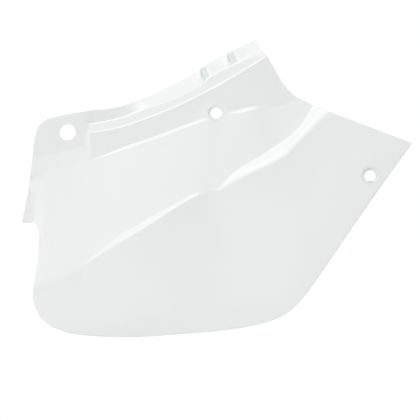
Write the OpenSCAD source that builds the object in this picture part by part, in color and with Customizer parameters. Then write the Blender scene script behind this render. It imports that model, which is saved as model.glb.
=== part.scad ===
// Radiator shroud, right-hand side panel in one piece of white plastic.
// X runs along the bike towards the pointed front end, Z is up, and the outer
// face looks towards -Y. The origin is the centre of the rear hole, on the
// outer face of its seat. Heights stand out from that seat, so y = -height.

/* [Panel] */
// Greatest length, hook to front point
panel_l = 409.5; // [340:0.5:480]
// Greatest height, lower edge to top tip
panel_h = 313; // [260:0.5:370]
// Thickness of the moulded wall
wall = 2.5; // [2:0.1:3.5]
// Tilt of the middle field, its foot standing further out than its top
field_tilt = 10.5; // [8:0.5:14]
// How far the lower edge stands out from the panel round the rear seat
bow = 32; // [26:0.5:36]
// How far the lower edge turns back
lip = 1.5; // [0:0.1:3]
// How far the left edge rolls back below the hook
roll_depth = 4; // [2:0.5:6]

/* [Rear seat] */
// Depth of the seat round the rear hole, below the panel around it
seat_depth = 2; // [1:0.25:4]
// Depth at the hook of the strip that runs down to it from the seat
strip_depth = 5; // [2:0.5:7]
// Bore of the rear hole, for a grommet
rear_d = 17; // [14:0.5:20]

/* [Folds] */
// Height of the upper fold, below the band of the middle hole
fold_upper = 2.5; // [1.5:0.25:4]
// Height of the left half of the long fold
fold_left = 5; // [2:0.25:6]
// Height of the right half of the long fold, at its widest
fold_right = 9; // [4:0.5:11]

/* [Upper rail] */
// Fall of the rail between its two edge lines
rail_fall = 1.5; // [0.5:0.25:3]
// Depth of the small step at each edge line
rail_step = 1; // [0.5:0.1:1.5]
// Lean of the flange above the rail, behind the plane of the face
flange_lean = 45; // [30:1:52]
// Width of the two gussets across the flange
gusset_w = 7; // [4:0.5:8]
// Distance of the first gusset from the rear hole, along the panel
gusset_1_x = 146; // [141:0.5:150]
// Distance of the second gusset from the rear hole, along the panel
gusset_2_x = 176; // [170:0.5:181]

/* [Middle hole] */
// Bore of the middle hole, for a shouldered M6 screw
mid_d = 12; // [9:0.5:13]
// Its distance in front of the rear hole
mid_x = 156.5; // [152:0.5:160]
// Its height above the rear hole
mid_z = 20; // [17:0.5:23]

/* [Front hole] */
// Bore of the front hole, for a shouldered M6 screw
front_d = 12; // [9:0.5:13]
// Its distance behind the front point
front_in = 44; // [40:0.5:56]
// Its distance below the front point
front_drop = 34.5; // [29:0.5:40]

/* [Screw recesses] */
// Round recess for the screw's collar, at the middle and front holes
recess_d = 17; // [15:0.5:18]
// Depth of the recess
recess_depth = 1.4; // [1:0.1:2]
// Length of the plain bore behind the recess
bore_l = 3; // [2:0.25:4]

/* [Dish of the middle hole] */
// Round flat on the upper fold that the recess is sunk in
flat_d = 18; // [18:0.5:22]
// Width of the dish that climbs from the flat to the face around it
dish_w = 12; // [12:0.5:20]
// How far the middle of the flat stands out from the band above it
dish_rise = 1.4; // [1:0.1:1.5]
// Lean of the flat, as outward rise for each millimetre downwards
dish_tilt = 0.155; // [0.1:0.005:0.16]

/* [Hidden] */

white = [0.93, 0.95, 0.94];
kx = panel_l / 409.5;
kz = panel_h / 313;
// Least step from the middle field out to the lower one
lower_step = 0.5;
// The gussets' distance below the rail, inside the flange's edge and in under the rail
gusset_low = 0.4;
gusset_in = 1;
gusset_root = 1.5;
// Reach of the forms that cut the holes
cut = 20;

// Rules for smooth lines
function clamp(t) = min(1, max(0, t));
function soft(t) = let (c = clamp(t)) c * c * (3 - 2 * c);
function mix(a, b, t) = a + (b - a) * t;
function part_of(t, a, b) = clamp((t - a) / (b - a));

// A smooth curve through rows [key, value, ...], keys rising
function span(rows, k, i = 0) =
    i >= len(rows) - 2 || k < rows[i + 1][0] ? i : span(rows, k, i + 1);
function lean(rows, i) =
    let (a = rows[max(i - 1, 0)], b = rows[min(i + 1, len(rows) - 1)])
    (b - a) / (b[0] - a[0]);
function curve(rows, k) =
    let (i = span(rows, k), a = rows[i], b = rows[i + 1], d = b[0] - a[0],
         t = clamp((k - a[0]) / d), t2 = t * t, t3 = t2 * t)
    a * (2 * t3 - 3 * t2 + 1) + lean(rows, i) * d * (t3 - 2 * t2 + t)
    + b * (3 * t2 - 2 * t3) + lean(rows, i + 1) * d * (t3 - t2);
function at(rows, k) = let (p = curve(rows, k)) [kx * p[1], kz * p[2]];

// The lines of the panel: [station, x, z]
// Stations run from 0 at the left edge to 9 at the right edge.

flange_edge = [[0, -26, 11], [0.15, -20, 14.5], [0.5, -5.5, 18], [1, 13.5, 21.5],
    [2, 26, 23.5], [2.5, 42, 25], [3, 59.5, 28.5], [3.5, 75.5, 34.5], [4, 92, 42],
    [5, 129, 60.5], [5.4, 142.5, 69.5], [6, 149, 74.5], [7, 171, 85.5],
    [8, 185.5, 93], [9, 198.5, 98.5]];
rail_top = [[0, -30.5, 6.5], [1, 13.5, 9], [2, 26, 10], [2.5, 45, 13.5], [3, 64, 19],
    [3.5, 80.5, 25.5], [4, 97.5, 31], [4.5, 116.5, 38.5], [5, 135, 48],
    [5.2, 141.5, 52], [5.4, 147, 57.5], [6, 156, 63.5], [7, 177, 73.5],
    [8, 192, 80.5], [9, 205, 86.5]];
rail_foot = [[0, -33, 0.5], [1, 13.5, -2], [2, 26, -0.5], [2.5, 45, 2.5], [3, 66, 8],
    [3.5, 84, 14.5], [4, 101.5, 21], [4.5, 120.5, 29.5], [5, 139.5, 39],
    [6, 161.5, 50.5], [7, 182.5, 63], [8, 197, 71.5], [9, 210, 80]];

upper_in = [[0, -37.5, -29], [0.5, -12, -22], [1, 12.5, -15], [1.5, 21, -19.5],
    [2, 27.5, -26], [2.5, 46, -20], [3, 66, -12.5], [4, 100.5, -0.5], [5, 136.5, 13],
    [6, 160.5, 20], [7, 181.5, 24.5], [7.5, 192, 27], [8, 204.5, 29], [8.5, 218, 32],
    [9, 236.5, 40.5]];
upper_out = [[0, -39.5, -46], [0.5, -14, -39.5], [1, 12.5, -31], [1.5, 21, -29],
    [2, 28, -29.5], [2.5, 47, -23.5], [3, 67, -16.5], [4, 102, -4.5], [5, 138, 9],
    [6, 162, 16], [7, 183.5, 20], [7.5, 193.5, 22.5], [8, 206.5, 24.5],
    [8.5, 222.5, 27.5], [9, 244, 35.5]];
long_in = [[0, -35, -163], [1, -5.5, -151.5], [2, 17.5, -138], [2.5, 34.5, -125.5],
    [3, 51, -112.5], [3.5, 70, -100], [4, 89, -88.5], [4.5, 109, -77.5],
    [5, 129, -67], [5.5, 143.5, -61], [6, 158.5, -59.5], [6.3, 166.5, -51],
    [6.6, 176, -42], [7, 190, -33], [7.5, 205.5, -23.5], [8, 223.5, -11.5],
    [8.4, 237, -1], [8.7, 247.5, 10.5], [9, 258, 28.5]];
long_out = [[0, -35.5, -173], [1, -3.5, -156], [2, 19.5, -140.5], [2.5, 37.5, -128.5],
    [3, 55.5, -117.5], [3.5, 74.5, -106.5], [4, 93, -94], [4.5, 112, -81.5],
    [5, 132, -69.5], [5.5, 148, -64.5], [6, 162.5, -62], [6.3, 174, -56],
    [6.6, 185.5, -50], [7, 200.5, -42.5], [7.5, 217, -34.5], [8, 233, -25],
    [8.3, 242.5, -14.5], [8.6, 256, -3], [8.8, 268, 5], [9, 287, 17]];
lower_edge = [[0, -26.5, -194], [0.5, -17, -203], [1, -3.5, -208.5],
    [2, 17.5, -212.5], [3, 64, -214.5], [4, 110, -212], [5, 162.5, -207.5],
    [5.5, 189, -203.5], [6, 212, -198], [6.5, 232, -188], [7, 248.5, -171.5],
    [7.5, 269.5, -142.5], [8, 297, -102], [8.5, 327.5, -58.5], [9, 361.5, -12]];
LINES = [flange_edge, rail_top, rail_foot, upper_in, upper_out, long_in, long_out,
         lower_edge];
front_point = at(lower_edge, 9);
front_x = front_point[0] - front_in;
front_z = front_point[1] - front_drop;

// The two side edges: [line number, x, z]
tab_edge = [[0, -26, 11], [1, -30.5, 6.5], [2, -33, 0.5], [2.5, -35.5, -10.5],
    [3, -37.5, -29], [4, -39.5, -46], [4.2, -42, -64], [4.4, -48, -94.9]];
rolled_edge = [[4.5, -34, -95.3], [4.6, -30.5, -106], [4.7, -30, -117.5],
    [4.8, -30.5, -131], [4.9, -33, -147], [5, -35, -163], [6, -35.5, -173],
    [6.33, -34, -180.5], [6.66, -31, -188], [7, -26.5, -194]];
right_edge = [[0, 198.5, 98.5], [1, 205, 86.5], [2, 210, 80], [2.25, 214.5, 72],
    [2.5, 220, 62.5], [2.75, 227, 51], [3, 236.5, 40.5], [4, 244, 35.5],
    [5, 258, 28.5], [6, 287, 17], [7, 361.5, -12]];

// Heights of the band below the rail: [station, height above the panel round the seat]
band_top_h = [[0, 0], [2, 0], [4, 0.5], [6, 0.5], [9, 0]];
band_foot_h = [[0, 0], [2, 0.5], [4, 1], [6, 1], [9, 0.5]];

// Shares of the middle field's tilt, of the bow and of the lip: [station, share]
field_share = [[0, 0.9], [1, 0.97], [2, 1.02], [3, 1], [9, 1]];
panel_foot = [[0, 0.76], [1, 0.83], [2, 0.9], [3, 0.97], [4, 1], [5, 0.94], [6, 0.92],
    [7, 0.95], [8, 0.85], [9, 0.52]];
lip_share = [[0, 0], [1, 0.3], [3, 1], [6, 1], [7, 0.5], [8, 0], [9, 0]];

// Share of the strip's depth on its way down to the hook and below it: [line number, share]
strip_fall = [[4, 0], [4.1, 0.3], [4.15, 0.25], [4.2, 0.35], [4.4, 1], [4.5, 1],
    [4.75, 0.6], [4.95, 0]];

// Shares of each fold's rise along its length: [station, share]
upper_rise = [[0, 0], [1.5, 0], [2, 0.2], [3, 0.8], [4, 1], [5, 1], [6, 0.75],
    [7, 0.9], [7.5, 0.8], [8, 0.25], [8.5, 0], [9, 0]];
left_rise = [[0, 0], [1.6, 0], [2, 0.05], [3, 0.8], [3.5, 1], [4, 0.95], [5, 0.3],
    [5.4, 0], [6, 0], [9, 0]];
right_rise = [[0, 0], [5.6, 0], [6, 0.05], [6.3, 0.3], [7, 0.7], [8, 1], [9, 1.05]];
flange_turn = [[0, 0], [2.8, 0], [4, 1], [9, 1]];

function value(rows, s) = curve(rows, s)[1];

// The outer face
function plan(s, v) =
    let (i = min(floor(v), 6), t = v - i,
         p = mix(at(LINES[i], s), at(LINES[i + 1], s), t),
         left = mix(at(LINES[i], 0), at(LINES[i + 1], 0), t),
         right = mix(at(LINES[i], 9), at(LINES[i + 1], 9), t),
         edge_l = at(v < 4.45 ? tab_edge : rolled_edge, v),
         edge_r = at(right_edge, v))
    p + (edge_l - left) * clamp(1 - s) + (edge_r - right) * clamp(s - 8);

// The station a point would have if the side edge had not moved it; near the notch the
// height goes by this station, so that the face runs on evenly above and below it
function own(s, v) =
    let (i = min(floor(v), 6), t = v - i,
         a = mix(at(LINES[i], 0), at(LINES[i + 1], 0), t)[0],
         b = mix(at(LINES[i], 1), at(LINES[i + 1], 1), t)[0])
    s + clamp(1 - s) * (at(v < 4.45 ? tab_edge : rolled_edge, v)[0] - a) / (b - a);

function rail_h(s, v, fine) =
    let (top = value(band_top_h, s), st = fine * rail_step)
    top - st * part_of(v, 2, 1.9) - st * part_of(v, 1.1, 1)
    - (rail_fall + 2 * (1 - fine) * rail_step) * part_of(v, fine ? 1.9 : 2, fine ? 1.1 : 1);
function flange_h(s, v) =
    let (w = norm(at(flange_edge, s) - at(rail_top, s)))
    -w * tan(flange_lean * value(flange_turn, s)) * clamp(1 - v);
function band_h(s, v) =
    mix(value(band_top_h, s), value(band_foot_h, s), part_of(v, 2, 3));
function field_top(s) = value(band_foot_h, s) + fold_upper * value(upper_rise, s);
function field_low(s) =
    field_top(s) + tan(field_tilt) * value(field_share, s)
    * (at(upper_out, s)[1] - at(long_in, s)[1]);
function field_h(s, v) =
    let (o = max(own(s, v), 0))
    field_top(o) + tan(field_tilt) * value(field_share, o)
    * (at(upper_out, o)[1] - plan(s, v)[1]);
function lower_top(s) =
    field_low(s) + lower_step + fold_left * value(left_rise, s) + fold_right * value(right_rise, s);
function lower_h(s, v) =
    let (t = part_of(v, 6, 7), turn = lip * value(lip_share, s))
    mix(lower_top(s), bow * value(panel_foot, s) + turn, (t + soft(t)) / 2)
    - turn * pow(part_of(t, 0.8, 1), 2);
function panel_height(s, v, fine) =
    v < 2 ? rail_h(s, v, fine) + flange_h(s, v)
    : v < 3 ? band_h(s, v)
    : v < 4 ? mix(band_h(s, 3), field_top(s), soft(v - 3))
    : v < 5 ? field_h(s, v)
    : v < 6 ? mix(field_low(s), lower_top(s), sin(90 * (v - 5)))
    : lower_h(s, v);

// The rear seat is flat at height 0; its ledge climbs to the panel
function seat(s, v) = (1 - soft(s - 1)) * (1 - part_of(v, 3, 4));
// The strip sinks towards the hook and fades below it
function strip(s, v) = (1 - soft(own(s, v) / 0.36)) * value(strip_fall, v);
// Below the hook the edge rolls back
function roll(s, v) =
    soft((v - 4.45) / 0.3) * (1 - soft((v - 4.6) / 0.4)) * pow(1 - clamp(s / 0.28), 1.5);
function height(s, v, fine) =
    (seat_depth + panel_height(s, v, fine)) * (1 - seat(s, v))
    - strip_depth * strip(s, v) - roll_depth * roll(s, v);

// The middle hole's flat lies on the upper fold, in a dish that climbs to the face
mid_h = seat_depth + value(band_foot_h, 6) + dish_rise;
function dished(p, h) =
    mix(mid_h + dish_tilt * (mid_z - p[1]), h,
        clamp((norm(p - [mid_x, mid_z]) - flat_d / 2) / dish_w));
function face(s, v, fine) =
    let (p = plan(s, v), h = height(s, v, fine))
    [p[0], v > 1.9 && v < 5 ? -dished(p, h) : -h, p[1]];

// The grid over the face
function steps(a, b, n) = [for (i = [1:n]) mix(a, b, i / n)];
columns = concat([0, 0.03, 0.09, 0.18, 0.3, 0.5, 0.75, 1], steps(1, 2, 5),
    steps(2, 3, 5), steps(3, 4, 6), steps(4, 5, 5), steps(5, 7, 12), steps(7, 8, 5),
    steps(8, 9, 8));
rows = concat([0], steps(0, 1, 3), [1.1, 1.5, 1.9, 2], steps(2, 3, 4), steps(3, 4, 4),
    [4.05, 4.1, 4.15, 4.2, 4.3, 4.4, 4.5, 4.6, 4.7, 4.8, 4.9, 5], [5.15, 5.35, 5.65, 6],
    steps(6, 6.8, 6), steps(6.8, 7, 3));
m = len(columns);
n = len(rows);

outer = [for (v = rows) [for (s = columns) face(s, v, 1)]];
plain = [for (v = rows) [for (s = columns) face(s, v, 0)]];
function unit(a) = a / norm(a);
function inward(j, i) =
    let (a = plain[j][min(i + 2, m - 1)] - plain[j][max(i - 2, 0)],
         b = plain[min(j + 2, n - 1)][i] - plain[max(j - 2, 0)][i])
    unit(cross(a, b));
inner = [for (j = [0:n - 1]) [for (i = [0:m - 1]) plain[j][i] + wall * inward(j, i)]];

function number(j, i) = j * m + i;
module skin() {
    both = m * n;
    front = [for (j = [0:n - 2]) for (i = [0:m - 2])
        each [[number(j, i), number(j, i + 1), number(j + 1, i + 1)],
              [number(j, i), number(j + 1, i + 1), number(j + 1, i)]]];
    back = [for (f = front) [f[2] + both, f[1] + both, f[0] + both]];
    loop = concat([for (i = [0:m - 2]) number(0, i)],
        [for (j = [0:n - 2]) number(j, m - 1)],
        [for (i = [m - 1:-1:1]) number(n - 1, i)],
        [for (j = [n - 1:-1:1]) number(j, 0)]);
    rim = [for (k = [0:len(loop) - 1])
        let (a = loop[k], b = loop[(k + 1) % len(loop)])
        each [[a, a + both, b + both], [a, b + both, b]]];
    polyhedron(points = [for (g = [outer, inner]) for (line = g) for (p = line) p],
        faces = concat(front, back, rim), convexity = 8);
}

// Turns a Z-axis form so that its +Z looks out of the panel, towards -Y
module facing(x, z, h) translate([x, -h, z]) rotate([90, 0, 0]) children();

// The hole's boss behind the wall, and the recess and bore cut into both
module boss(x, z, h) facing(x, z, h - recess_depth - bore_l)
    cylinder(h = recess_depth + bore_l - wall / 2, d1 = recess_d + wall,
             d2 = recess_d + 2 * wall, $fn = 64);
// The flat of the middle hole leans, so a leaning collar ties its boss to the wall
module collar(x, z, h, tilt) facing(x, z, h) rotate([-atan(tilt), 0, 0])
    translate([0, 0, -1.3 * wall])
        cylinder(h = 1.05 * wall, d1 = recess_d + wall, d2 = recess_d + 2 * wall, $fn = 64);
module recess(x, z, h, bore) facing(x, z, h - recess_depth) {
    cylinder(h = cut, d = recess_d, $fn = 64);
    translate([0, 0, -cut]) cylinder(h = cut + 1, d = bore, $fn = 64);
}

// Height of the face at the grid point nearest to a place
function level(x, z) =
    let (near = [for (line = outer) for (p = line) [norm([p[0] - x, p[2] - z]), -p[1]]],
         least = min([for (q = near) q[0]]))
    [for (q = near) if (q[0] == least) q[1]][0];
front_h = round(10 * level(front_x, front_z)) / 10;

// The station at which a line passes a given distance from the rear hole
function station(line, x, a = 0, b = 9, turns = 20) =
    let (c = (a + b) / 2)
    turns == 0 ? c
    : at(line, c)[0] < x ? station(line, x, c, b, turns - 1)
    : station(line, x, a, c, turns - 1);

// A gusset stands on the leaning flange, square to the rail
module gusset(x) {
    s = station(rail_top, x);
    foot = at(rail_top, s);
    across = at(flange_edge, s) - foot;
    w = norm(across);
    u = across / w;
    top = -face(s, 1, 1)[1];
    fall = top + face(s, 0, 1)[1];
    k = (w - gusset_in) / w;
    multmatrix([[u[0], 0, u[1], foot[0]], [0, -1, 0, 0], [u[1], 0, -u[0], foot[1]],
                [0, 0, 0, 1]])
        translate([0, 0, -gusset_w / 2]) linear_extrude(height = gusset_w)
            polygon([[-gusset_root, top - gusset_low], [w - gusset_in, top - gusset_low],
                     [w - gusset_in, top - fall * k - wall / 2],
                     [-gusset_root, top - wall / 2]]);
}

module shroud() color(white) difference() {
    union() {
        skin();
        boss(mid_x, mid_z, mid_h);
        collar(mid_x, mid_z, mid_h, dish_tilt);
        boss(front_x, front_z, front_h);
        gusset(gusset_1_x);
        gusset(gusset_2_x);
    }
    facing(0, 0, -cut) cylinder(h = 2 * cut, d = rear_d, $fn = 64);
    recess(mid_x, mid_z, mid_h, mid_d);
    recess(front_x, front_z, front_h, front_d);
}

shroud();
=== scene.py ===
# %% [markdown]
# This lesson dresses a motorcycle's radiator shroud, a thin moulded panel of white
# plastic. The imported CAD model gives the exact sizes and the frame: the origin is the
# rear hole, X runs forward to the pointed end, Z is up and the outer face looks to -Y.
# Blender gives the panel a finer skin than the CAD model's, its finish, and the light.

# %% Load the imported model
import math

import bpy
import mathutils
import numpy as np
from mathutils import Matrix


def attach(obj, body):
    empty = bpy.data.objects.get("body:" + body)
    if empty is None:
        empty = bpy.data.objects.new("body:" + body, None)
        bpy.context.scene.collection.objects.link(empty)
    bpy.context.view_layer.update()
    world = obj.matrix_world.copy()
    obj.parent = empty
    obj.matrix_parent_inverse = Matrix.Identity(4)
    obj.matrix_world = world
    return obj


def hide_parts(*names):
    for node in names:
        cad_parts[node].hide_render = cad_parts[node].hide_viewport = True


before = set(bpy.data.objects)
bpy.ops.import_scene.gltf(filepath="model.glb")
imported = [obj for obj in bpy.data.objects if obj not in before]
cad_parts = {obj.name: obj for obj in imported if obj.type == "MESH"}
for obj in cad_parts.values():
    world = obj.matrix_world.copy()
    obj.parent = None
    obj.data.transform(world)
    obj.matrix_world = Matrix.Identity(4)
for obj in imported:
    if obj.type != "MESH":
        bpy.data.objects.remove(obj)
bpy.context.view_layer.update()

# %% [markdown]
# The panel is drawn by lines that run from its left edge to its right edge: the edge of
# the flange, the two lines of the rail, the two sides of the upper fold, the two sides
# of the long fold, and the lower edge. By hand one would draw Bezier curves over the
# photograph. Here a small function runs a smooth curve through a few points and gives
# the places at any number along it, so that the finer skin fits the CAD model's solid,
# which has the same lines. Everything is in millimetres until the mesh is made.


# %% A smooth curve through a few points
def curve(rows, keys):
    """The points at keys on a smooth curve through rows of [key, value, ...]."""
    rows = np.array(rows, float)
    key = rows[:, 0]
    lean = np.empty_like(rows)
    lean[1:-1] = (rows[2:] - rows[:-2]) / (key[2:] - key[:-2])[:, None]
    lean[0] = (rows[1] - rows[0]) / (key[1] - key[0])
    lean[-1] = (rows[-1] - rows[-2]) / (key[-1] - key[-2])
    keys = np.clip(np.atleast_1d(keys), key[0], key[-1])
    i = np.clip(np.searchsorted(key, keys, side="right") - 1, 0, len(key) - 2)
    d = (key[i + 1] - key[i])[:, None]
    t = (keys - key[i])[:, None] / d
    t2, t3 = t * t, t * t * t
    return (
        rows[i] * (2 * t3 - 3 * t2 + 1)
        + lean[i] * d * (t3 - 2 * t2 + t)
        + rows[i + 1] * (3 * t2 - 2 * t3)
        + lean[i + 1] * d * (t3 - t2)
    )[:, 1:]


def mix(a, b, t):
    return a + (b - a) * t


def share(t, a, b):
    """How far t has come from a to b, from 0 to 1."""
    return np.clip((t - a) / (b - a), 0, 1)


def soft(t):
    """The same share, with a slow start and a slow end."""
    t = np.clip(t, 0, 1)
    return t * t * (3 - 2 * t)


# %% [markdown]
# All the points were read off the photograph, to half a millimetre. A line has
# only the points that its shape needs. A station from 0 to 9 says how far along the
# panel a point lies, and the places of one station on all the lines make one column of
# the grid that becomes the skin.

# %% The lines of the panel: station, x, z
flange_edge = [[0, -26, 11], [0.15, -20, 14.5], [0.5, -5.5, 18], [1, 13.5, 21.5],
    [2, 26, 23.5], [2.5, 42, 25], [3, 59.5, 28.5], [3.5, 75.5, 34.5], [4, 92, 42],
    [5, 129, 60.5], [5.4, 142.5, 69.5], [6, 149, 74.5], [7, 171, 85.5],
    [8, 185.5, 93], [9, 198.5, 98.5]]
rail_top = [[0, -30.5, 6.5], [1, 13.5, 9], [2, 26, 10], [2.5, 45, 13.5], [3, 64, 19],
    [3.5, 80.5, 25.5], [4, 97.5, 31], [4.5, 116.5, 38.5], [5, 135, 48],
    [5.2, 141.5, 52], [5.4, 147, 57.5], [6, 156, 63.5], [7, 177, 73.5],
    [8, 192, 80.5], [9, 205, 86.5]]
rail_foot = [[0, -33, 0.5], [1, 13.5, -2], [2, 26, -0.5], [2.5, 45, 2.5], [3, 66, 8],
    [3.5, 84, 14.5], [4, 101.5, 21], [4.5, 120.5, 29.5], [5, 139.5, 39],
    [6, 161.5, 50.5], [7, 182.5, 63], [8, 197, 71.5], [9, 210, 80]]
upper_in = [[0, -37.5, -29], [0.5, -12, -22], [1, 12.5, -15], [1.5, 21, -19.5],
    [2, 27.5, -26], [2.5, 46, -20], [3, 66, -12.5], [4, 100.5, -0.5], [5, 136.5, 13],
    [6, 160.5, 20], [7, 181.5, 24.5], [7.5, 192, 27], [8, 204.5, 29], [8.5, 218, 32],
    [9, 236.5, 40.5]]
upper_out = [[0, -39.5, -46], [0.5, -14, -39.5], [1, 12.5, -31], [1.5, 21, -29],
    [2, 28, -29.5], [2.5, 47, -23.5], [3, 67, -16.5], [4, 102, -4.5], [5, 138, 9],
    [6, 162, 16], [7, 183.5, 20], [7.5, 193.5, 22.5], [8, 206.5, 24.5],
    [8.5, 222.5, 27.5], [9, 244, 35.5]]
long_in = [[0, -35, -163], [1, -5.5, -151.5], [2, 17.5, -138], [2.5, 34.5, -125.5],
    [3, 51, -112.5], [3.5, 70, -100], [4, 89, -88.5], [4.5, 109, -77.5],
    [5, 129, -67], [5.5, 143.5, -61], [6, 158.5, -59.5], [6.3, 166.5, -51],
    [6.6, 176, -42], [7, 190, -33], [7.5, 205.5, -23.5], [8, 223.5, -11.5],
    [8.4, 237, -1], [8.7, 247.5, 10.5], [9, 258, 28.5]]
long_out = [[0, -35.5, -173], [1, -3.5, -156], [2, 19.5, -140.5], [2.5, 37.5, -128.5],
    [3, 55.5, -117.5], [3.5, 74.5, -106.5], [4, 93, -94], [4.5, 112, -81.5],
    [5, 132, -69.5], [5.5, 148, -64.5], [6, 162.5, -62], [6.3, 174, -56],
    [6.6, 185.5, -50], [7, 200.5, -42.5], [7.5, 217, -34.5], [8, 233, -25],
    [8.3, 242.5, -14.5], [8.6, 256, -3], [8.8, 268, 5], [9, 287, 17]]
lower_edge = [[0, -26.5, -194], [0.5, -17, -203], [1, -3.5, -208.5],
    [2, 17.5, -212.5], [3, 64, -214.5], [4, 110, -212], [5, 162.5, -207.5],
    [5.5, 189, -203.5], [6, 212, -198], [6.5, 232, -188], [7, 248.5, -171.5],
    [7.5, 269.5, -142.5], [8, 297, -102], [8.5, 327.5, -58.5], [9, 361.5, -12]]
LINES = [flange_edge, rail_top, rail_foot, upper_in, upper_out, long_in, long_out, lower_edge]
print("lines:", len(LINES), "with", sum(len(line) for line in LINES), "points")

# %% [markdown]
# The two ends of the panel aren't straight, so each end has a line of its own that is
# read down the panel: the eight lines above are its rows 0 to 7. The left end comes in
# two parts, because the edge jumps inwards at the notch under the hook.

# %% The side edges: row, x, z
tab_edge = [[0, -26, 11], [1, -30.5, 6.5], [2, -33, 0.5], [2.5, -35.5, -10.5],
    [3, -37.5, -29], [4, -39.5, -46], [4.2, -42, -64], [4.4, -48, -94.9]]
rolled_edge = [[4.5, -34, -95.3], [4.6, -30.5, -106], [4.7, -30, -117.5],
    [4.8, -30.5, -131], [4.9, -33, -147], [5, -35, -163], [6, -35.5, -173],
    [6.33, -34, -180.5], [6.66, -31, -188], [7, -26.5, -194]]
right_edge = [[0, 198.5, 98.5], [1, 205, 86.5], [2, 210, 80], [2.25, 214.5, 72],
    [2.5, 220, 62.5], [2.75, 227, 51], [3, 236.5, 40.5], [4, 244, 35.5],
    [5, 258, 28.5], [6, 287, 17], [7, 361.5, -12]]
hook_row, notch_row = tab_edge[-1][0], rolled_edge[0][0]
print("the notch lies between rows", hook_row, "and", notch_row)

# %% [markdown]
# The skin is a grid. Its columns follow the stations and its rows follow the lines, so
# every fold has rows of its own and stays crisp, where an even net would blur it. The
# rows lie close together where the form turns sharply and far apart where it is calm.
# Each interval of the CAD model's grid is parted into four, which rounds its facets.

# %% Stations and rows of the grid
FINE = 4
STEP_W = 0.1


def between(a, b, count):
    return [mix(a, b, i / count) for i in range(1, count + 1)]


def finer(values, count):
    """Each interval of values parted into count."""
    parts = [values[0]]
    for a, b in zip(values, values[1:]):
        parts += between(a, b, count)
    return np.array(parts)


stations = finer(
    [0, 0.03, 0.09, 0.18, 0.3, 0.5, 0.75, 1]
    + between(1, 2, 5) + between(2, 3, 5) + between(3, 4, 6) + between(4, 5, 5)
    + between(5, 7, 12) + between(7, 8, 5) + between(8, 9, 8),
    FINE,
)
levels = finer(
    [0] + between(0, 1, 3) + [1 + STEP_W, 1.5, 2 - STEP_W, 2]
    + between(2, 3, 4) + between(3, 4, 4)
    + [4.05, 4.1, 4.15, 4.2] + between(4.2, 5, 8) + [5.15, 5.35, 5.65, 6]
    + between(6, 6.8, 6) + between(6.8, 7, 3),
    FINE,
)
print("grid:", len(stations), "stations by", len(levels), "rows")

# %% [markdown]
# A row between two lines is a mix of them, and its ends are pulled onto the side edges.
# The pull fades out over the first and the last station. It also shifts points along
# the panel, so another function tells which station each would have had without it.

# %% Where the points of a row lie
line_points = [curve(line, stations) for line in LINES]


def drawn_row(v):
    """The x and z on row v before its ends are pulled onto the side edges."""
    i = min(int(v), len(LINES) - 2)
    return mix(line_points[i], line_points[i + 1], v - i)


def plan(v):
    """The x and z of the grid points on row v."""
    row = drawn_row(v)
    left_end = mix(curve(tab_edge, v)[0], curve(rolled_edge, v)[0], share(v, hook_row, notch_row))
    right_end = curve(right_edge, v)[0]
    left_pull = np.clip(1 - stations, 0, 1)[:, None]
    right_pull = np.clip(stations - 8, 0, 1)[:, None]
    return row + (left_end - row[0]) * left_pull + (right_end - row[-1]) * right_pull


def own_station(v):
    """The stations that the points of row v would have, had the side edge not moved them."""
    row = drawn_row(v)[:, 0]
    one = np.argmin(np.abs(stations - 1))
    return stations + np.clip(1 - stations, 0, 1) * (plan(v)[0, 0] - row[0]) / (row[one] - row[0])


print("the hook's tip, mm:", plan(hook_row)[0])

# %% [markdown]
# A point also needs its height, which is its distance out of the rear seat. Each fold
# has a full rise, and its share of that rise at a few stations, because the folds grow
# and fade along the panel. Such tables are easy to adjust when the light shows that a
# fold is too steep, far easier than moving points in a finished mesh.

# %% Full heights, and their shares along the stations
seat_depth = 2
fold_upper, fold_left, fold_right = 2.5, 5, 9
lower_step = 0.5
field_tilt = 10.5
flange_lean = 45
bow = 32
lip = 1.5
band_top_h = [[0, 0], [2, 0], [4, 0.5], [6, 0.5], [9, 0]]
band_foot_h = [[0, 0], [2, 0.5], [4, 1], [6, 1], [9, 0.5]]
field_share = [[0, 0.9], [1, 0.97], [2, 1.02], [3, 1], [9, 1]]
panel_foot = [[0, 0.76], [1, 0.83], [2, 0.9], [3, 0.97], [4, 1], [5, 0.94], [6, 0.92],
    [7, 0.95], [8, 0.85], [9, 0.52]]
lip_share = [[0, 0], [1, 0.3], [3, 1], [6, 1], [7, 0.5], [8, 0], [9, 0]]
upper_rise = [[0, 0], [1.5, 0], [2, 0.2], [3, 0.8], [4, 1], [5, 1], [6, 0.75],
    [7, 0.9], [7.5, 0.8], [8, 0.25], [8.5, 0], [9, 0]]
left_rise = [[0, 0], [1.6, 0], [2, 0.05], [3, 0.8], [3.5, 1], [4, 0.95], [5, 0.3],
    [5.4, 0], [6, 0], [9, 0]]
right_rise = [[0, 0], [5.6, 0], [6, 0.05], [6.3, 0.3], [7, 0.7], [8, 1], [9, 1.05]]
flange_turn = [[0, 0], [2.8, 0], [4, 1], [9, 1]]


# %% Heights of the lines at every station
def profile(rows):
    """A table's value at each station of the grid."""
    return curve(rows, stations)[:, 0]


band_top, band_foot = profile(band_top_h), profile(band_foot_h)
panel_low = bow * profile(panel_foot)
lip_here = lip * profile(lip_share)
field_top = band_foot + fold_upper * profile(upper_rise)
field_fall = math.tan(math.radians(field_tilt)) * profile(field_share)
field_low = field_top + field_fall * (line_points[4][:, 1] - line_points[5][:, 1])
lower_top = (
    field_low + lower_step + fold_left * profile(left_rise) + fold_right * profile(right_rise)
)
flange_w = np.linalg.norm(line_points[0] - line_points[1], axis=1)
flange_fall = flange_w * np.tan(np.radians(flange_lean * profile(flange_turn)))
print("the lower field starts", round(lower_top.max(), 1), "mm out at most")

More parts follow.
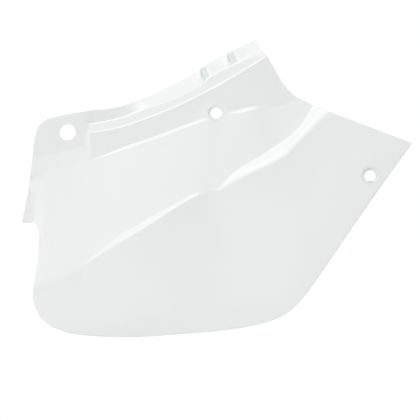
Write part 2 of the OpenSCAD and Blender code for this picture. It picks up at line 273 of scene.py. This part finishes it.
# %% [markdown]
# Between the lines the height runs from one to the next. The rail has a small step at
# each of its two sharp edges. The middle field is a leaning plane, and its height comes
# from where a point truly lies and not from its row, because the notch pulls the rows
# aside and would bend the plane. The lower field swells a little before its edge.

# %% The panel's height on a row
rail_fall, rail_step = 1.5, 1
lip_end = 0.8


def rail_height(v, stepped):
    """The flange and the rail, with the rail's steps or with one even fall."""
    step_high, step_low = 1 + STEP_W, 2 - STEP_W
    if stepped:
        steps = rail_step * (share(v, 2, step_low) + share(v, step_high, 1))
        fall = rail_fall * share(v, step_low, step_high)
    else:
        steps = 0
        fall = (rail_fall + 2 * rail_step) * share(v, 2, 1)
    return band_top - steps - fall - flange_fall * np.clip(1 - v, 0, 1)


def field_height(v):
    """The middle field: a plane that leans outwards as it falls."""
    own = own_station(v)
    top_z = np.interp(own, stations, line_points[4][:, 1])
    return np.interp(own, stations, field_top) + np.interp(own, stations, field_fall) * (
        top_z - plan(v)[:, 1]
    )


def panel_height(v, stepped):
    if v < 2:
        return rail_height(v, stepped)
    if v < 3:
        return mix(band_top, band_foot, share(v, 2, 3))
    if v < 4:
        return mix(band_foot, field_top, soft(v - 3))
    if v < 5:
        return field_height(v)
    if v < 6:
        return mix(field_low, lower_top, math.sin(math.radians(90 * (v - 5))))
    t = share(v, 6, 7)
    swelling = mix(lower_top, panel_low + lip_here, (t + soft(t)) / 2)
    return swelling - lip_here * share(t, lip_end, 1) ** 2


# %% [markdown]
# Three forms at the panel's left end come on top: the flat seat round the rear hole,
# the sunken strip below it and, under the notch, the edge that rolls back. Last comes
# a shallow dish that flattens the face round the middle hole, where a screw's head
# needs a place to sit although a fold passes right beside it.

# %% Seat, strip, rolled edge and dish
strip_depth, strip_reach = 5, 0.36
strip_fall = [[4, 0], [4.1, 0.3], [4.15, 0.25], [4.2, 0.35], [4.4, 1], [4.5, 1],
    [4.75, 0.6], [4.95, 0]]
roll_depth, roll_reach, roll_power = 4, 0.28, 1.5
roll_start, roll_growth = 4.45, 0.3
roll_turn, roll_fade = 4.6, 0.4
mid_hole = (156.5, 20)
flat_d, dish_w, dish_rise, dish_tilt = 18, 12, 1.4, 0.155
dish_rows = (2 - STEP_W, 5)
mid_face = seat_depth + curve(band_foot_h, 6)[0, 0] + dish_rise


def height(v, stepped=True):
    """The height of the grid points on row v above the rear seat."""
    seat = (1 - soft(stations - 1)) * (1 - share(v, 3, 4))
    strip = (1 - soft(own_station(v) / strip_reach)) * curve(strip_fall, v)[0, 0]
    deep = soft((v - roll_start) / roll_growth) * (1 - soft((v - roll_turn) / roll_fade))
    roll = deep * (1 - np.clip(stations / roll_reach, 0, 1)) ** roll_power
    panel = (seat_depth + panel_height(v, stepped)) * (1 - seat)
    panel = panel - strip_depth * strip - roll_depth * roll
    if not dish_rows[0] < v < dish_rows[1]:
        return panel
    x, z = plan(v).T
    away = np.hypot(x - mid_hole[0], z - mid_hole[1]) - flat_d / 2
    dish = mid_face + dish_tilt * (mid_hole[1] - z)
    return mix(dish, panel, np.clip(away / dish_w, 0, 1))


def face(stepped=True):
    """The outer face: one row of x, y, z for each row of the grid."""
    rows = []
    for v in levels:
        x, z = plan(v).T
        rows.append(np.stack([x, -height(v, stepped), z], axis=1))
    return np.array(rows)


outer = face()
print("outer face, mm:", outer.min(axis=(0, 1)).round(1), outer.max(axis=(0, 1)).round(1))

# %% [markdown]
# A moulding has the same wall all over, so its inner side is the outer face moved back
# along its own direction. Solidify would do that, but it takes the direction from each
# small facet, and the inner points would cross at the rail's steps. Here the direction
# is taken across a wide stretch of the grid, on a face without those steps.

# %% The inner side
wall = 2.5
REACH = 2 * FINE


def across(grid):
    """The way along the grid's second axis at each point, from REACH before to REACH after."""
    i = np.arange(grid.shape[1])
    return grid[:, np.minimum(i + REACH, i[-1])] - grid[:, np.maximum(i - REACH, 0)]


plain = face(stepped=False)
back_way = np.cross(across(plain), across(plain.swapaxes(0, 1)).swapaxes(0, 1))
back_way /= np.linalg.norm(back_way, axis=2)[..., None]
inner = plain + wall * back_way
print("inner side, mm:", inner.min(axis=(0, 1)).round(1), inner.max(axis=(0, 1)).round(1))

# %% [markdown]
# No moulded rim is knife-sharp. Each side gets one more ring of points close inside its
# rim, and the rim itself is drawn a little towards the other side. That rounds it as a
# Bevel modifier would, but it never swells the panel past the CAD model's box.

# %% The rim, rounded
ROUND = 0.2
TINY = 1e-6


def ring_beside(grid, edge, near):
    """A ring of points between the rim and the row beside it, close to the rim."""
    step = grid[near] - grid[edge]
    length = np.linalg.norm(step, axis=-1)[:, None]
    return grid[edge] + step * np.minimum(ROUND * wall / np.maximum(length, TINY), 0.5)


def ringed(grid):
    """The grid with one more ring close inside its rim."""
    for axis in (0, 1):
        grid = np.swapaxes(grid, 0, axis)
        first, last = ring_beside(grid, 0, 1), ring_beside(grid, -1, -2)
        grid = np.concatenate([grid[:1], first[None], grid[1:-1], last[None], grid[-1:]])
        grid = np.swapaxes(grid, 0, axis)
    return grid


def rounded(side, other):
    """The side with its rim drawn a little towards the other side."""
    drawn = side.copy()
    for rim in (np.s_[0], np.s_[-1], np.s_[:, 0], np.s_[:, -1]):
        drawn[rim] = mix(side[rim], other[rim], ROUND)
    return drawn


coarse_outer = outer[::FINE, ::FINE].reshape(-1, 3)
outer, inner = ringed(outer), ringed(inner)
outer, inner = rounded(outer, inner), rounded(inner, outer)
row_count, column_count = outer.shape[:2]
print("grid with its rings:", row_count, "rows by", column_count, "columns")

# %% [markdown]
# Now the skin itself. By hand one would add a grid, pull its points onto the drawing
# and extrude the whole sheet once for the wall, which also makes the rim. The same is
# done here, with a number kept on each point so that the extruded copy knows which
# point of the inner side it belongs to.

# %% A grid on the outer face
MM = 0.001


def select_none():
    if bpy.context.object and bpy.context.object.mode != "OBJECT":
        bpy.ops.object.mode_set(mode="OBJECT")
    bpy.ops.object.select_all(action="DESELECT")


def only(piece):
    select_none()
    piece.select_set(True)
    bpy.context.view_layer.objects.active = piece


def places(mesh):
    """The places of all the mesh's points, one row of x, y, z for each."""
    flat = np.empty(len(mesh.vertices) * 3)
    mesh.vertices.foreach_get("co", flat)
    return flat.reshape(-1, 3)


select_none()
bpy.ops.mesh.primitive_grid_add(
    x_subdivisions=column_count - 1, y_subdivisions=row_count - 1, size=2
)
shroud = bpy.context.object
shroud.name = "shroud_skin"
mesh = shroud.data
sheet = places(mesh)
column = np.rint((sheet[:, 0] + 1) / 2 * (column_count - 1)).astype(int)
row = np.rint((1 - sheet[:, 1]) / 2 * (row_count - 1)).astype(int)
number = mesh.attributes.new("grid_number", "INT", "POINT")
number.data.foreach_set("value", row * column_count + column)
mesh.vertices.foreach_set("co", (outer[row, column] * MM).ravel())
print("sheet:", len(mesh.vertices), "points")


# %% The wall, extruded from the sheet
def faces_outwards():
    """Turn all the faces of the active piece outwards."""
    bpy.ops.object.mode_set(mode="EDIT")
    bpy.ops.mesh.select_all(action="SELECT")
    bpy.ops.mesh.normals_make_consistent(inside=False)
    bpy.ops.object.mode_set(mode="OBJECT")


only(shroud)
bpy.ops.object.mode_set(mode="EDIT")
bpy.ops.mesh.select_all(action="SELECT")
bpy.ops.mesh.extrude_region()
bpy.ops.object.mode_set(mode="OBJECT")
numbers = np.empty(len(mesh.vertices), int)
mesh.attributes["grid_number"].data.foreach_get("value", numbers)
picked = np.empty(len(mesh.vertices), bool)
mesh.vertices.foreach_get("select", picked)
skin = places(mesh)
skin[picked] = inner.reshape(-1, 3)[numbers[picked]] * MM
mesh.vertices.foreach_set("co", skin.ravel())
faces_outwards()
mesh.attributes.remove(mesh.attributes["grid_number"])
print("skin:", len(mesh.vertices), "points,", len(mesh.polygons), "faces")
print("points moved back:", int(picked.sum()))

# %% [markdown]
# The holes are round, so lathed solids are the natural tool: each is a cylinder or cone
# at its place, joined to the skin or cut from it with a Boolean modifier. The exact
# solver is used, because thin walls and touching faces confuse the fast one.


# %% Round solids that face out of the panel
def lathe(x, z, low, high, low_d, high_d):
    """A cone from height low to height high, on an axis square to the face."""
    select_none()
    bpy.ops.mesh.primitive_cone_add(
        vertices=96,
        radius1=low_d / 2 * MM,
        radius2=high_d / 2 * MM,
        depth=(high - low) * MM,
        location=(x * MM, -(low + high) / 2 * MM, z * MM),
        rotation=(math.pi / 2, 0, 0),
    )
    bpy.ops.object.transform_apply(location=True, rotation=True, scale=True)
    return bpy.context.object


def combine(tool, operation):
    only(shroud)
    step = shroud.modifiers.new(operation.lower(), "BOOLEAN")
    step.operation = operation
    step.solver = "EXACT"
    step.object = tool
    bpy.ops.object.modifier_apply(modifier=step.name)
    bpy.data.objects.remove(tool)


# %% [markdown]
# The middle and front holes each lie in a shallow round recess, and the plastic behind
# them is a boss that gives the screw something to bear on. A low rim stands round the
# bore, and the groove between the rim and the recess's wall shows as the dark ring of
# the photograph. A short collar ties the boss to the skin. Where the face leans, as
# round the middle hole, the collar leans with it, or its edge would come through.

# %% The three holes
front_hole = (317.5, -46.5)
rear_d, mid_d, front_d = 17, 12, 12
recess_d, recess_depth, bore_l = 17, 1.4, 3
groove_depth, rim_w = 0.25, 0.6
boss_d, boss_root_d = recess_d + wall, recess_d + 2 * wall
collar_back, collar_front = 1.3 * wall, wall / 4
cut, cut_out = 20, 10


def level(x, z):
    """The height of the CAD grid's point nearest to a place, to a tenth of a millimetre."""
    nearest = np.argmin(np.hypot(coarse_outer[:, 0] - x, coarse_outer[:, 2] - z))
    return round(-coarse_outer[nearest, 1], 1)


def screw_hole(x, z, bore, face_h, tilt):
    """A boss with its collar, the recess with its groove and rim, and the bore."""
    floor_h = face_h - recess_depth
    back_h = floor_h - bore_l
    combine(lathe(x, z, back_h, face_h - wall, boss_d, boss_root_d), "UNION")
    collar = lathe(x, z, face_h - collar_back, face_h - collar_front, boss_d, boss_root_d)
    for corner in collar.data.vertices:
        corner.co.y -= tilt * (z * MM - corner.co.z)
    combine(collar, "UNION")
    combine(lathe(x, z, floor_h - groove_depth, face_h + cut_out, recess_d, recess_d), "DIFFERENCE")
    rim_d = bore + 2 * rim_w
    combine(lathe(x, z, back_h, floor_h, rim_d, rim_d), "UNION")
    combine(lathe(x, z, floor_h - cut, face_h + 1, bore, bore), "DIFFERENCE")
    print("hole at", (x, z), "face at height", face_h)


screw_hole(*mid_hole, mid_d, mid_face, dish_tilt)
screw_hole(*front_hole, front_d, level(*front_hole), 0)
combine(lathe(0, 0, -cut, cut, rear_d, rear_d), "DIFFERENCE")
print("after the holes:", len(mesh.vertices), "points")

# %% [markdown]
# Two gussets stand across the flange, square to the rail, and keep it from bending.
# Each starts as a cube whose eight corners are drawn onto the flange: its top stays
# near the rail's level and its foot runs inside the flange's wall, so it becomes a
# wedge that fills the lean.

# %% Gussets across the flange
gusset_places = (146, 176)
gusset_w = 7
gusset_low, gusset_in, gusset_root = 0.4, 1, 1.5


def gusset(x):
    """The gusset that crosses the rail's top line at x."""
    i = np.argmin(np.abs(line_points[1][:, 0] - x))
    foot, edge = line_points[1][i], line_points[0][i]
    w = np.linalg.norm(edge - foot)
    u = (edge - foot) / w
    sideways = np.array([-u[1], u[0]])
    top = height(1)[i]
    fall = flange_fall[i] * (w - gusset_in) / w
    select_none()
    bpy.ops.mesh.primitive_cube_add(size=2)
    block = bpy.context.object
    for corner in block.data.vertices:
        far, side, up = corner.co
        reach = w - gusset_in if far > 0 else -gusset_root
        foot_h = top - wall / 2 - (fall if far > 0 else 0)
        h = top - gusset_low if up > 0 else foot_h
        at = foot + u * reach + sideways * side * gusset_w / 2
        corner.co = (at[0] * MM, -h * MM, at[1] * MM)
    only(block)
    faces_outwards()
    return block


for x in gusset_places:
    combine(gusset(x), "UNION")
print("with the gussets:", len(mesh.vertices), "points")

# %% [markdown]
# A moulding flows smoothly but for its real edges. Shade Smooth by Angle keeps each
# edge that turns by more than 35 degrees crisp, such as the rims of the holes, and
# smooths the rest.

# %% Smooth shading, with the real edges kept
only(shroud)
bpy.ops.object.shade_smooth_by_angle(angle=math.radians(35))
sharp = sum(edge.use_edge_sharp for edge in mesh.edges)
print("edges kept sharp:", sharp, "of", len(mesh.edges))

# %% [markdown]
# The plastic is a milky white with a faint cool tint, polished by the mould. One could
# give it a single colour, but a large plain panel then looks like paper. So a wide soft
# noise moves the tint by a hair. It reads the object's own coordinates, which need no
# unwrap and stay with the panel from every side.

# %% White plastic: its tint
plastic = bpy.data.materials.new("white_plastic")
plastic.use_nodes = True
nodes, links = plastic.node_tree.nodes, plastic.node_tree.links
surface = nodes["Principled BSDF"]
place_on = nodes.new("ShaderNodeTexCoord")


def noise(scale):
    texture = nodes.new("ShaderNodeTexNoise")
    texture.inputs["Scale"].default_value = scale
    links.new(place_on.outputs["Object"], texture.inputs["Vector"])
    return texture


tone = noise(5)
tone.inputs["Detail"].default_value = 2
tints = nodes.new("ShaderNodeValToRGB")
tints.color_ramp.elements[0].position = 0.2
tints.color_ramp.elements[0].color = (0.816, 0.856, 0.847, 1)
tints.color_ramp.elements[1].position = 0.8
tints.color_ramp.elements[1].color = (0.832, 0.863, 0.846, 1)
links.new(tone.outputs["Fac"], tints.inputs["Fac"])
links.new(tints.outputs["Color"], surface.inputs["Base Color"])
print("tint from", tuple(tints.color_ramp.elements[0].color)[:3])

# %% [markdown]
# The gloss is kept low enough that the ledges shine without turning into plain white.
# It varies a little, and a very fine grain breaks up the reflections, as flow in the
# mould does, both far too weak to be seen as a pattern.

# %% White plastic: its gloss and grain
gloss_range = nodes.new("ShaderNodeMapRange")
gloss_range.inputs["To Min"].default_value = 0.36
gloss_range.inputs["To Max"].default_value = 0.42
links.new(noise(60).outputs["Fac"], gloss_range.inputs["Value"])
links.new(gloss_range.outputs["Result"], surface.inputs["Roughness"])

ripple = nodes.new("ShaderNodeBump")
ripple.inputs["Strength"].default_value = 0.04
ripple.inputs["Distance"].default_value = 0.0002
links.new(noise(900).outputs["Fac"], ripple.inputs["Height"])
links.new(ripple.outputs["Normal"], surface.inputs["Normal"])
surface.inputs["IOR"].default_value = 1.49
surface.inputs["Specular IOR Level"].default_value = 0.35

mesh.materials.clear()
mesh.materials.append(plastic)
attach(shroud, "root")
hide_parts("shroud")
print("nodes in the plastic:", len(nodes))

# %% [markdown]
# The photograph is a cut-out on pure white. The floor lies some way below the panel,
# because the part hangs from its holes. Near the panel the floor keeps some of its own
# shading, and with it the panel's shadow. Further out it fades to plain white, so that
# its edge can't be seen. A ray from the camera sees this white, and all other rays see
# a pale matt floor that reflects a little light upwards.

# %% Floor
select_none()
bpy.ops.mesh.primitive_plane_add(size=3.4, location=(0.15, 0, -0.45))
floor = bpy.context.object
floor.name = "floor"
paper = bpy.data.materials.new("pale_floor")
paper.use_nodes = True
nodes, links = paper.node_tree.nodes, paper.node_tree.links
matt = nodes["Principled BSDF"]
matt.inputs["Base Color"].default_value = (0.8, 0.8, 0.8, 1)
matt.inputs["Roughness"].default_value = 0.9
place_on = nodes.new("ShaderNodeTexCoord")
how_far = nodes.new("ShaderNodeVectorMath")
how_far.operation = "LENGTH"
links.new(place_on.outputs["Object"], how_far.inputs[0])


def by_distance(near, far):
    """A value that changes from near to far between 0.6 m and 1.5 m from the floor's middle."""
    fade = nodes.new("ShaderNodeMapRange")
    fade.interpolation_type = "SMOOTHSTEP"
    for name, value in (("From Min", 0.6), ("From Max", 1.5), ("To Min", near), ("To Max", far)):
        fade.inputs[name].default_value = value
    links.new(how_far.outputs["Value"], fade.inputs["Value"])
    return fade.outputs["Result"]


white_sheet = nodes.new("ShaderNodeEmission")
seen = nodes.new("ShaderNodeLightPath")
whiteness = nodes.new("ShaderNodeMath")
whiteness.operation = "MULTIPLY"
to_camera = nodes.new("ShaderNodeMixShader")
links.new(seen.outputs["Is Camera Ray"], whiteness.inputs[0])
links.new(by_distance(0.6, 1), whiteness.inputs[1])
links.new(by_distance(1.1, 1), white_sheet.inputs["Strength"])
links.new(whiteness.outputs["Value"], to_camera.inputs["Fac"])
links.new(matt.outputs["BSDF"], to_camera.inputs[1])
links.new(white_sheet.outputs["Emission"], to_camera.inputs[2])
links.new(to_camera.outputs["Shader"], nodes["Material Output"].inputs["Surface"])
floor.data.materials.append(paper)
print("floor at z", floor.location.z)

# %% [markdown]
# The world is white to the camera and in reflections, so the background is pure white
# and the gloss has something pale to mirror. To every other ray it is dim, because a
# bright world lights each slope alike and would wash the folds out.

# %% World
world = bpy.data.worlds.new("studio")
bpy.context.scene.world = world
world.use_nodes = True
nodes, links = world.node_tree.nodes, world.node_tree.links
room = nodes["Background"]
backdrop = nodes.new("ShaderNodeBackground")
for part, strength in ((room, 0.08), (backdrop, 1)):
    part.inputs["Color"].default_value = (1, 1, 1, 1)
    part.inputs["Strength"].default_value = strength
seen = nodes.new("ShaderNodeLightPath")
either = nodes.new("ShaderNodeMath")
either.operation = "MAXIMUM"
shown = nodes.new("ShaderNodeMixShader")
links.new(seen.outputs["Is Camera Ray"], either.inputs[0])
links.new(seen.outputs["Is Glossy Ray"], either.inputs[1])
links.new(either.outputs["Value"], shown.inputs["Fac"])
links.new(room.outputs["Background"], shown.inputs[1])
links.new(backdrop.outputs["Background"], shown.inputs[2])
links.new(shown.outputs["Shader"], nodes["World Output"].inputs["Surface"])
print("world's light:", room.inputs["Strength"].default_value)

# %% [markdown]
# One large soft lamp stands above, in front and a little to the left. It makes every
# ledge that faces up read as a bright line, which is all that shows the folds of a
# white panel on white. A weaker one right above lifts the leaning flange, and a low
# one on the left brightens the edge that rolls back. A small lamp below the panel
# softens the lower field's right half. Two lamps behind and at the front end keep the
# back and the side from turning dark grey when someone turns the panel round.


# %% Lamps
def softbox(name, place_m, target_m, size_m, watts):
    select_none()
    bpy.ops.object.light_add(type="AREA", location=place_m)
    lamp = bpy.context.object
    lamp.name = name
    lamp.data.shape = "SQUARE"
    lamp.data.size = size_m
    lamp.data.energy = watts
    way = mathutils.Vector(target_m) - mathutils.Vector(place_m)
    lamp.rotation_euler = way.to_track_quat("-Z", "Y").to_euler()
    print(name, watts, "W,", round(way.length, 2), "m away")


middle = (0.15, 0, -0.08)
softbox("lamp_above", (-0.55, -1.9, 2.35), middle, 1.6, 71.5)
softbox("lamp_top", (0.1, 0.3, 2.2), middle, 1.2, 10)
softbox("lamp_left", (-1.9, -0.6, -0.2), middle, 0.9, 10)
softbox("lamp_behind", (0.6, 2.3, 1.3), middle, 1.4, 32)
softbox("lamp_front_end", (2.2, 0.25, 0.1), middle, 0.9, 5)
softbox("lamp_low", (0.4, -0.95, -0.4), (0.26, 0, -0.13), 0.25, 1.9)

# %% [markdown]
# The photograph is taken straight on and from far off, so the camera stands three
# metres in front and looks along Y. Its focal length follows from how wide the picture
# is at the panel's face, which is easier to measure than an angle.

# %% The camera, straight in front and far off
DISTANCE = 3.0
FACE_OUT = 0.012
FRAME_WIDTH = 0.441
view = bpy.data.cameras.new("photo_view")
camera = bpy.data.objects.new("photo_view", view)
bpy.context.scene.collection.objects.link(camera)
camera.location = (0.1499, -DISTANCE, -0.0819)
camera.rotation_euler = (math.pi / 2, 0, 0)
view.lens = view.sensor_width * (DISTANCE - FACE_OUT) / FRAME_WIDTH
view.clip_end = 100
bpy.context.scene.camera = camera
bpy.context.scene.view_settings.view_transform = "Standard"
print("focal length, mm:", round(view.lens, 1))
